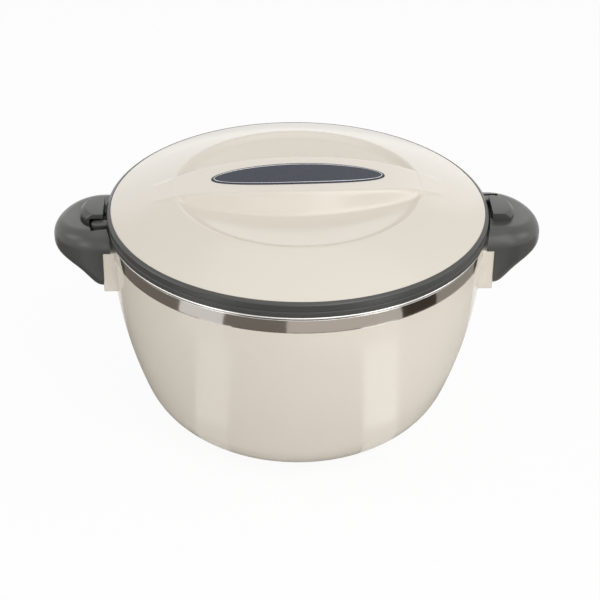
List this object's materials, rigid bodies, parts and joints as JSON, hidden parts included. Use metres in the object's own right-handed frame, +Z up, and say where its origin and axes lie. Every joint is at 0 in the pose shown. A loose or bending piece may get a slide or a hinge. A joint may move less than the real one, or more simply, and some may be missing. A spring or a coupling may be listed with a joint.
{
  "type": "insulated casserole",
  "caption": "Round insulated serving casserole with a steel-lined foamed bowl, ear handles and a domed ridge-grip lid that lifts off after a short turn.",
  "frame": {"origin": "middle of the foot, on the surface that it stands on", "axes": "+Z up, handles along X, the front of the picture towards -Y"},
  "size_m": [0.3202, 0.25, 0.1775],
  "materials": {
    "cream_plastic": "semi-gloss moulded plastic, cream",
    "grey_plastic": "satin moulded plastic, dark grey",
    "liner_steel": "satin stainless steel",
    "polished_steel": "polished stainless steel",
    "foam": "rigid foam",
    "silicone": "soft silicone, pale grey",
    "badge_blue": "glossy dark blue-grey",
    "badge_line": "bright foil line",
    "screw_steel": "plain steel",
    "brass": "plain brass"
  },
  "bodies": {
    "bowl": {"outer_bowl": "cream_plastic", "base_plug": "cream_plastic", "left_handle": "grey_plastic", "right_handle": "grey_plastic", "inner_bowl": "liner_steel", "rim_band": "polished_steel", "bowl_foam": "foam", "left_handle_screws": "screw_steel", "left_handle_washers": "screw_steel", "left_handle_inserts": "brass", "right_handle_screws": "screw_steel", "right_handle_washers": "screw_steel", "right_handle_inserts": "brass"},
    "lid_seal": {"lid_gasket": "silicone"},
    "lid": {"lid_cover": "cream_plastic", "lid_foam": "foam", "lid_fill_plug": "cream_plastic", "lid_ring": "grey_plastic", "lid_liner": "liner_steel", "badge_plate": "badge_blue", "badge_border": "badge_line"}
  },
  "joints": [
    {"name": "lid_lift", "type": "slide", "parent": "bowl", "child": "lid_seal", "axis": [0, 0, 1], "range_m": [0, 0.12]},
    {"name": "lid_turn", "type": "hinge", "parent": "lid_seal", "child": "lid", "pos_m": [0, 0, 0.15], "axis": [0, 0, 1], "range_deg": [-7, 0]}
  ]
}
